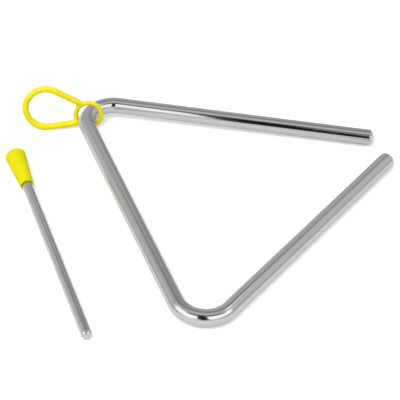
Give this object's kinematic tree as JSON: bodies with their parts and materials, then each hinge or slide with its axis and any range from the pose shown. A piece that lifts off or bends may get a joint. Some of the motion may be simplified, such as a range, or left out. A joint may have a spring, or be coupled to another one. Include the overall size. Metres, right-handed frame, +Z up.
{
  "type": "triangle instrument",
  "caption": "Hand triangle: a round steel bar bent into an open triangle, a moulded finger loop hanging on one bend, and a straight beater with a tapered grip.",
  "frame": {"origin": "middle of the footprint, on the floor that the instrument lies on", "axes": "+X from the closed side towards the open corner, -Y towards the front bend and the beater's tip, +Z up"},
  "size_m": [0.2254, 0.2045, 0.0293],
  "materials": {
    "bar": "polished",
    "loop": "gloss",
    "rod": "polished",
    "grip": "satin"
  },
  "bodies": {
    "triangle": {"triangle_bar": "bar"},
    "loop": {"finger_loop": "loop"},
    "beater": {"beater_rod": "rod", "beater_grip": "grip"}
  },
  "joints": [
    {"name": "loop_turn", "type": "hinge", "parent": "triangle", "child": "loop", "pos_m": [-0.05282, 0.0869, 0.00926], "axis": [-0.2691, -0.9322, 0.2419], "range_deg": [-135, 160]},
    {"name": "beater_lift", "type": "slide", "parent": "triangle", "child": "beater", "axis": [0, 0, 1], "range_m": [0, 0.2]}
  ]
}
